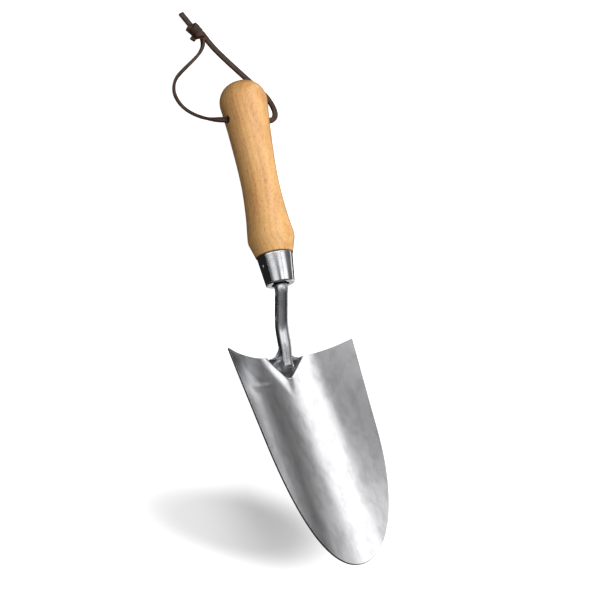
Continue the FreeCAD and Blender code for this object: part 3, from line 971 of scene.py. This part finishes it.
def pierce(points, faces, middle, block, around, rim, hole_x):
    """Rounds a square of the grid into a circle and takes its faces out. block is half the square's side in
    faces, and rim the circle's radius. Gives the faces that stay and the ring of the circle's points."""
    row, centre = middle
    reach = 2 * block
    pitch = abs(points[(row + 1) * around].x - points[row * around].x)
    for down in range(-reach, reach + 1):
        for over in range(-reach, reach + 1):
            square = max(abs(down), abs(over))
            if not square:
                continue
            index = (row + down) * around + (centre + over) % around
            point = points[index]
            round_share = square / math.hypot(down, over)
            scale = round_share * rim / (block * pitch)
            factor = 1 + eased(reach - square, 0, reach - block) * (scale - 1)
            radius = math.hypot(point.y, point.z)
            x = hole_x + (point.x - hole_x) * factor
            angle = over * pitch / radius * factor
            side = math.copysign(1, points[row * around + centre].y)
            points[index] = Vector((x, side * radius * math.cos(angle), -side * radius * math.sin(angle)))
    within = range(-block, block)
    inner = {(row + down) * around + (centre + over) % around for down in within for over in within}
    kept = [face for face in faces if face[0] not in inner]
    ring = [(row - block, over) for over in within]
    ring += [(row + down, block) for down in within]
    ring += [(row + block, over) for over in range(block, -block, -1)]
    ring += [(row + down, -block) for down in range(block, -block, -1)]
    return kept, [r * around + (centre + c) % around for r, c in ring]


def add_tunnel(points, faces, ring, sizes, side, hole_x):
    """The rounded mouth and the bore of the lace hole, down from a ring of the grip's points."""
    rim = sizes.hole_radius + sizes.hole_softening
    count = len(ring)
    start = len(points)
    depth_unit = sizes.hole_softening * 1.6
    steps = [(0.35, 0.10), (0.75, 0.35), (1.0, 1.0), (1.0, 6.0), (1.0, 13.0)]
    for share, depth in steps:
        for index in ring:
            edge = points[index]
            shrink = 1 - share * sizes.hole_softening / rim
            y = edge.y - side * depth * depth_unit
            points.append(Vector((hole_x + (edge.x - hole_x) * shrink, y, edge.z * shrink)))
    for here in range(count):
        there = (here + 1) % count
        faces.append((ring[here], ring[there], start + there, start + here))
    faces += grid_faces(len(steps), count, start, closed=True)


# ---- Lace -------------------------------------------------------------------------------------------


def route_line(name, route):
    """The lace's smooth centre line, read from a spline that a route's points control."""
    curve = bpy.data.curves.new(name, "CURVE")
    curve.dimensions = "3D"
    spline = curve.splines.new("NURBS")
    spline.points.add(len(route) - 1)
    for point, spot in zip(spline.points, route):
        point.co = (*spot, 1)
    spline.order_u = 3
    spline.use_endpoint_u = True
    spline.resolution_u = 12
    holder = bpy.data.objects.new(name, curve)
    bpy.context.scene.collection.objects.link(holder)
    mesh = bpy.data.meshes.new_from_object(holder)
    line = [vertex.co.copy() for vertex in mesh.vertices]
    bpy.data.objects.remove(holder)
    bpy.data.curves.remove(curve)
    bpy.data.meshes.remove(mesh)
    return line


def strip_section(sizes):
    """The lace's cut section: a flat strip with soft corners, as (side, up)."""
    soft = 0.0005
    section = []
    for side, up, start in ((1, 1, 0), (-1, 1, 90), (-1, -1, 180), (1, -1, 270)):
        for step in range(4):
            angle = math.radians(start + 30 * step)
            across = side * (sizes.width / 2 - soft) + soft * math.cos(angle)
            rise = up * (sizes.thickness / 2 - soft) + soft * math.sin(angle)
            section.append((across, rise))
    return section


def strip(line, sizes, rolls):
    """Points and faces of the lace along a line. rolls are (share, degrees) of its turn from lying flat."""
    section = strip_section(sizes)
    points = []
    for index, spot in enumerate(line):
        ahead = (line[min(index + 1, len(line) - 1)] - line[max(index - 1, 0)]).normalized()
        level = Vector((0, 0, 1)).cross(ahead).normalized()
        up = ahead.cross(level)
        turn = Matrix.Rotation(roll_at(rolls, index / (len(line) - 1)), 3, ahead)
        side, top = turn @ level, turn @ up
        points += [spot + side * across + top * rise for across, rise in section]
    faces = grid_faces(len(line), len(section), closed=True) + end_caps(len(section), len(points))
    return points, faces


def roll_at(rolls, share):
    """The strip's turn at a share of its length, eased between its set places."""
    for (start, before), (end, after) in zip(rolls, rolls[1:]):
        if share <= end:
            return math.radians(before + (after - before) * eased(share, start, end))
    return math.radians(rolls[-1][1])


def coil(centre, axis, radius, turns, pitch, start, sizes):
    """Points and faces of the lace wound round an axis with its flat face outwards. pitch is its run along
    the axis in one turn and start its first angle; both ends are tucked in towards the axis."""
    tuck_share, tuck_radius = 0.14, 0.55
    section = strip_section(sizes)
    axis = axis.normalized()
    level = Vector((0, 0, 1)).cross(axis).normalized()
    up = axis.cross(level)
    steps_per_turn = 40
    steps = round(turns * steps_per_turn)
    points = []
    for step in range(steps + 1):
        angle = start + 2 * math.pi * turns * step / steps
        outward = level * math.cos(angle) + up * math.sin(angle)
        ahead = (up * math.cos(angle) - level * math.sin(angle)) * radius + axis * pitch / (2 * math.pi)
        side = ahead.normalized().cross(outward)
        free = eased(min(step, steps - step) / steps, 0, tuck_share)
        tucked = radius * (tuck_radius + (1 - tuck_radius) * free)
        spot = centre + axis * pitch * turns * (step / steps - 0.5) + outward * tucked
        points += [spot + side * across + outward * rise for across, rise in section]
    faces = grid_faces(steps + 1, len(section), closed=True) + end_caps(len(section), len(points))
    return points, faces


def joined(*parts):
    """One list of points and one of faces from several."""
    points = []
    faces = []
    for more_points, more_faces in parts:
        faces += [tuple(spot + len(points) for spot in face) for face in more_faces]
        points += more_points
    return points, faces


def make_knot(sizes, material):
    """The knot: two strands of the lace, wound at a slant to each other round a solid core."""
    centre = Vector(sizes.knot)
    run = Vector(sizes.knot_run)
    core_line = [(-0.0058, 0.0001), (-0.0052, 0.0036), (0.0052, 0.0036), (0.0062, 0.0001)]
    core, core_faces = revolved(bezier_run(core_line, 16), 32)
    turn = Vector((1, 0, 0)).rotation_difference(run).to_matrix()
    strands = [([centre + turn @ point for point in core], core_faces)]
    for past, slant, radius, turns, pitch, start in (
        (-0.0014, 0.18, 0.0031, 1.9, 0.0033, 2.2),
        (0.0030, -0.60, 0.0028, 1.15, 0.0022, 2.6),
    ):
        axis = Matrix.Rotation(slant, 3, "Z") @ run
        strands.append(coil(centre + run * past, axis, radius, turns, pitch, start, sizes))
    points, faces = joined(*strands)
    made = piece("lace_knot", points, faces, material, IN_ROW)
    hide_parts("lanyard_knot")
    return made


def make_end(name, node, ends, roll, sizes, material):
    """A free end of the lace that comes out of the knot, turned by roll degrees from lying flat."""
    start, end = (Vector(place) for place in ends)
    steps = 12
    line = [start.lerp(end, step / steps) for step in range(steps + 1)]
    points, faces = strip(line, sizes, [(0, roll), (1, roll)])
    made = piece(name, points, faces, material, IN_ROW)
    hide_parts(node)
    return made


def make_leg(name, node, route, rolls, sizes, material):
    """One leg of the lace, as a cord from the middle of the cross hole to the knot."""
    line = route_line(name + "_route", route)
    points, faces = strip(line, sizes, rolls)
    made = piece(name, points, faces, material, IN_ROW)
    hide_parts(node)
    return made


# ---- Operators --------------------------------------------------------------------------------------


class BladeOperator(bpy.types.Operator):
    """Presses the blade from its sheet"""

    bl_idname = "trowel.blade"
    bl_label = "Blade"

    def execute(self, context):
        scene = context.scene
        sizes = scene.trowel_blade
        face = brushed_steel(scene.trowel_finishes, blade_place(sizes))
        make_blade(sizes, face, cut_edge(scene.trowel_finishes))
        return {"FINISHED"}


class NeckOperator(bpy.types.Operator):
    """Bends the neck and finishes its weld"""

    bl_idname = "trowel.neck"
    bl_label = "Neck and weld"

    def execute(self, context):
        scene = context.scene
        rod = polished_steel(
            scene.trowel_finishes,
            "neck_steel",
            (60, 1200, 1200),
            0.24,
            # Painted shade on the rod where it goes into the ferrule's hole, and just outside it
            lambda along, radius: 1 - along.step(0.0002, 0.0016),
        )
        make_neck(scene.trowel_neck, rod)
        make_weld(scene.trowel_neck, scene.trowel_blade, weld_steel(scene.trowel_finishes))
        return {"FINISHED"}


class FerruleOperator(bpy.types.Operator):
    """Turns the ferrule and sets its pin"""

    bl_idname = "trowel.ferrule"
    bl_label = "Ferrule and pin"

    def execute(self, context):
        scene = context.scene
        hole = scene.trowel_ferrule.hole_radius
        steel = polished_steel(
            scene.trowel_finishes,
            "ferrule_steel",
            (2400, 90, 90),
            0.09,
            # Painted shade on the bore of the ferrule's hole
            lambda along, radius: 1 - radius.step(hole + 0.0001, hole + 0.0004),
        )
        make_ferrule(scene.trowel_ferrule, steel)
        make_pin(scene.trowel_ferrule, steel)
        return {"FINISHED"}


class HandleOperator(bpy.types.Operator):
    """Turns the handle and bores its lace hole"""

    bl_idname = "trowel.handle"
    bl_label = "Handle"

    def execute(self, context):
        scene = context.scene
        wood = beech(scene.trowel_finishes, scene.trowel_ferrule.length)
        make_handle(scene.trowel_handle, scene.trowel_ferrule, wood)
        return {"FINISHED"}


class LaceOperator(bpy.types.Operator):
    """Lays the leather lace and its knot"""

    bl_idname = "trowel.lace"
    bl_label = "Lace"

    def execute(self, context):
        scene = context.scene
        material = leather(scene.trowel_finishes)
        sizes = scene.trowel_lace
        ends = [
            make_knot(sizes, material),
            make_end("lace_tail", "lanyard_tail", LONG_END, 0, sizes, material),
            make_end("lace_stub", "lanyard_stub", SHORT_END, 20, sizes, material),
        ]
        flat = [(0, 0), (1, 0)]
        on_edge = [(0, 0), (0.3, 60), (1, 90)]
        make_leg("lace_left", "lanyard_left", LEFT_LEG, on_edge, sizes, material)
        make_leg("lace_right", "lanyard_right", RIGHT_LEG, flat, sizes, material)
        return {"FINISHED"}


class StudioOperator(bpy.types.Operator):
    """Sets the pale floor, the lamps and the camera"""

    bl_idname = "trowel.studio"
    bl_label = "Studio"

    def execute(self, context):
        settings = context.scene.trowel_studio
        context.scene.view_settings.view_transform = "Standard"
        make_room(context.scene, settings)
        make_floor(settings)
        make_lamps(settings)
        make_camera(context.scene, settings)
        return {"FINISHED"}


def make_room(scene, settings):
    """A room that is white where it is seen, itself or in or through another surface, and dim as a light."""
    world = bpy.data.worlds.new("room")
    scene.world = world
    world.use_nodes = True
    paint = Paint(world.node_tree)
    strength = settings.ambient + paint.shown() * (1 - settings.ambient)
    back = paint.node("Background", sockets={0: strength, 1: 1.0})
    paint.node("OutputWorld", sockets={0: back})


def stage_sheet(name, corners, material, faces=None):
    mesh = bpy.data.meshes.new(name)
    mesh.from_pydata(corners, [], faces or [tuple(range(len(corners)))])
    mesh.materials.append(material)
    made = bpy.data.objects.new(name, mesh)
    bpy.context.scene.collection.objects.link(made)
    return made


def make_floor(settings):
    """A matt table top with a glow of its own that lifts it to white. In a soft oval beside the blade's tip
    the glow is lower, a painted shadow that leaves the oval grey, and only there a cast shadow shows."""
    material, paint = new_paint("table_top")
    oval = Matrix.Translation((0.120, -0.048, 0)) @ Matrix.Rotation(math.radians(-19), 4, "Z")
    half_width, half_length = 0.0275, 0.084
    along, across, _ = paint.parts(paint.place(oval))
    away = ((along / half_width) ** 2 + (across / half_length) ** 2).root()
    # Painted shadow: inside the oval the glow stays low, so the table is grey there with or without a cast
    # shadow
    lift = settings.floor_lift + (1 - settings.floor_lift) * away.step(0.40, 1.1)
    glow = paint.node("Emission", sockets={0: paint.shown() * lift, 1: 1.0})
    matt = paint.node("BsdfDiffuse", sockets={0: solid(settings.floor)})
    paint.surface(paint.node("AddShader", sockets={0: matt, 1: glow}))
    reach = 4.0
    corners = [(-reach, -reach, 0), (reach, -reach, 0), (reach, reach, 0), (-reach, reach, 0)]
    stage_sheet("table", corners, material)


def facing(direction, distance):
    """The placement of a lamp or card that stands off in a direction and faces the tool, level along X."""
    back = Vector(direction).normalized()
    side = (Vector((1, 0, 0)) - back * back.x).normalized()
    turn = Matrix((side, back.cross(side), back)).transposed().to_4x4()
    return Matrix.Translation(back * distance) @ turn


def card(name, place, along, across, brightness, soft=(0.05, 0.05, 0.05, 0.05)):
    """A glowing or black card that only polished surfaces see. It spans a low and a high place along X
    and across, and fades into the room over four borders: low and high along, low and high across."""
    material, paint = new_paint(name)
    spot = paint.parts(paint.place(place))
    shade = 1.0
    for value, (low, high), (low_soft, high_soft) in zip(spot, (along, across), (soft[:2], soft[2:])):
        shade = value.step(low, low + low_soft) * (1 - value.step(high - high_soft, high)) * shade
    room = bpy.context.scene.trowel_studio.ambient
    glow = paint.node("Emission", sockets={0: shade * (brightness - room) + room, 1: 1.0})
    paint.surface(glow)
    corners = [(along[0], across[0]), (along[1], across[0]), (along[1], across[1]), (along[0], across[1])]
    only_reflected(stage_sheet(name, [tuple(place @ Vector((*corner, 0))) for corner in corners], material))


def tent(reach, glow):
    """Dim walls and a roof that only polished surfaces see, in place of the white room behind them."""
    material, paint = new_paint("tent")
    paint.surface(paint.node("Emission", sockets={0: (glow, glow, glow, 1), 1: 1.0}))
    square = ((-reach, -reach), (reach, -reach), (reach, reach), (-reach, reach))
    just_under_table = -0.01
    corners = [(x, y, z) for z in (just_under_table, reach) for x, y in square]
    walls = [(0, 1, 5, 4), (1, 2, 6, 5), (2, 3, 7, 6), (3, 0, 4, 7), (4, 5, 6, 7)]
    only_reflected(stage_sheet("tent", corners, material, walls))


def only_reflected(made):
    """Hides an object from all but glossy rays."""
    made.visible_camera = made.visible_diffuse = made.visible_shadow = False
    made.visible_transmission = made.visible_volume_scatter = False


def tilted(degrees):
    """A direction over the tool: degrees from straight up towards its right."""
    angle = math.radians(degrees)
    return (0, math.sin(angle), math.cos(angle))


def lamp(name, place, size, strength):
    """A soft lamp that polished surfaces don't mirror."""
    light = bpy.data.lights.new(name, "AREA")
    light.shape = "ELLIPSE"
    light.size, light.size_y = size
    light.energy = strength * math.pi * math.pi / 4 * light.size * light.size_y
    made = bpy.data.objects.new(name, light)
    bpy.context.scene.collection.objects.link(made)
    made.matrix_world = place
    made.visible_camera = made.visible_glossy = False
    return made


def spare(light, made):
    """Keeps a lamp's light off one object."""
    kept_off = bpy.data.collections.new(light.name + "_spares")
    kept_off.objects.link(made)
    kept_off.collection_objects[0].light_linking.link_state = "EXCLUDE"
    light.light_linking.receiver_collection = kept_off


def make_lamps(settings):
    """Two soft lamps, of which the second spares the table, and the tent with its cards."""
    lamp("key", facing(tilted(22), 1.1), (1.6, 0.9), settings.key)
    fill = lamp("fill", facing(tilted(-5), 1.1), (1.4, 0.5), settings.fill * 2.5)
    spare(fill, bpy.data.objects["table"])
    tent(2.4, settings.ambient)
    make_floor_cards()
    make_overhead_cards(settings)
    make_side_cards(settings)


def make_floor_cards():
    """Black cards just over the table, and a pale one that the ring of the ferrule's mouth mirrors."""
    black = 0.02
    sharp = (0.0005,) * 4
    ground = Matrix.Translation((0, 0, 0.00005))
    card("card_floor", ground, (-1.5, -0.02), (-1.5, 0.12), black, sharp)
    card("card_floor_gap", ground, (-0.0195, -0.0035), (-1.5, 0.0), black, sharp)
    card("card_floor_ring", ground, (-0.0195, -0.0035), (0.0005, 0.03), 0.62, sharp)
    card("card_floor_front", ground, (-0.003, 1.5), (-1.5, 0.03), black, sharp)


def make_overhead_cards(settings):
    """Cards round the key lamp. The narrower ones hang a little lower than the broad one."""
    broad = facing(tilted(22), 1.1)
    lower = facing(tilted(22), 1.09)
    lowest = facing(tilted(22), 1.08)
    card("card_key", broad, (-1.6, 0.06), (-0.50, 0.68), settings.key * 0.72, (0.2, 0.2, 0.30, 0.55))
    card("card_shade", lowest, (-0.32, -0.150), (-0.25, 1.0), 0.2, (0.04, 0.015, 0.35, 0.1))
    card("card_corner", lower, (-0.74, -0.26), (0.36, 1.10), 1.0, (0.16, 0.1, 0.02, 0.4))
    card("card_crown", lower, (-0.140, 0.02), (-0.95, -0.20), 1.7, (0.015, 0.08, 0.4, 0.1))
    card("card_neck", lower, (-0.30, -0.145), (-1.5, -0.20), 1.9, (0.05, 0.015, 0.3, 0.1))
    card("card_edge", lower, (0.2, 0.9), (0.10, 1.4), 0.03, (0.1, 0.1, 0.2, 0.1))


def make_side_cards(settings):
    """Cards on the tool's left, over its blade at a slant, and low on its right."""
    left = facing(tilted(-48), 1.1)
    nearer_left = facing(tilted(-48), 1.09)
    card("card_left", left, (-0.128, 0.02), (-0.75, 0.50), settings.fill, (0.015, 0.03, 0.6, 0.4))
    card("card_bend", left, (-0.32, -0.14), (-0.95, 0.85), 2.2, (0.05, 0.012, 0.5, 0.1))
    card("card_middle", nearer_left, (0.12, 0.8), (-0.75, 0.9), 0.25, (0.15, 0.1, 0.2, 0.2))
    slanted = facing(tilted(-20), 1.0) @ Matrix.Rotation(math.radians(14.6), 4, "Z")
    card("card_tip", slanted, (-0.67, -0.22), (-0.60, 0.62), 1.7, (0.16, 0.1, 0.1, 0.1))
    card("card_back", slanted, (-1.6, -0.70), (-0.80, 0.60), 1.0, (0.1, 0.42, 0.1, 0.1))
    right = facing(tilted(97), 1.1)
    card("card_right", right, (-0.70, -0.16), (-0.54, -0.135), 0.38, (0.22, 0.14, 0.22, 0.01))
    card("card_low", right, (-1.9, -0.98), (-0.70, -0.135), 1.8)


def make_camera(scene, settings):
    camera = bpy.data.cameras.new("camera")
    camera.lens = settings.lens
    camera.sensor_width = 36
    holder = bpy.data.objects.new("camera", camera)
    scene.collection.objects.link(holder)
    holder.location = settings.camera_place
    holder.rotation_euler = settings.camera_turn
    scene.camera = holder


# ---- Panel and registration -------------------------------------------------------------------------


class TrowelPanel(bpy.types.Panel):
    """Lists the trowel's sizes and the steps that build it"""

    bl_idname = "VIEW3D_PT_trowel"
    bl_label = "Hand Trowel"
    bl_space_type = "VIEW_3D"
    bl_region_type = "UI"
    bl_category = "Trowel"

    def draw(self, context):
        for title, operator, group in STEPS:
            box = self.layout.box()
            box.label(text=title)
            settings = getattr(context.scene, group)
            for name in settings.__annotations__:
                box.prop(settings, name)
            if operator:
                box.operator(operator)


GROUPS = {
    "trowel_blade": BladeSizes,
    "trowel_neck": NeckSizes,
    "trowel_ferrule": FerruleSizes,
    "trowel_handle": HandleSizes,
    "trowel_lace": LaceSizes,
    "trowel_finishes": Finishes,
    "trowel_studio": StudioSettings,
}
OPERATORS = (BladeOperator, NeckOperator, FerruleOperator, HandleOperator, LaceOperator, StudioOperator)
STEPS = (
    ("Blade", "trowel.blade", "trowel_blade"),
    ("Neck", "trowel.neck", "trowel_neck"),
    ("Ferrule", "trowel.ferrule", "trowel_ferrule"),
    ("Handle", "trowel.handle", "trowel_handle"),
    ("Lace", "trowel.lace", "trowel_lace"),
    ("Finishes", None, "trowel_finishes"),
    ("Studio", "trowel.studio", "trowel_studio"),
)


def register():
    for group in GROUPS.values():
        bpy.utils.register_class(group)
    for name, group in GROUPS.items():
        setattr(bpy.types.Scene, name, PointerProperty(type=group))
    for made in (*OPERATORS, TrowelPanel):
        bpy.utils.register_class(made)


def unregister():
    for made in (TrowelPanel, *reversed(OPERATORS)):
        bpy.utils.unregister_class(made)
    for name in GROUPS:
        delattr(bpy.types.Scene, name)
    for group in reversed(GROUPS.values()):
        bpy.utils.unregister_class(group)


def main():
    register()
    bpy.ops.trowel.studio()
    bpy.ops.trowel.lace()
    bpy.ops.trowel.handle()
    bpy.ops.trowel.ferrule()
    bpy.ops.trowel.neck()
    bpy.ops.trowel.blade()


if __name__ == "__main__":
    main()
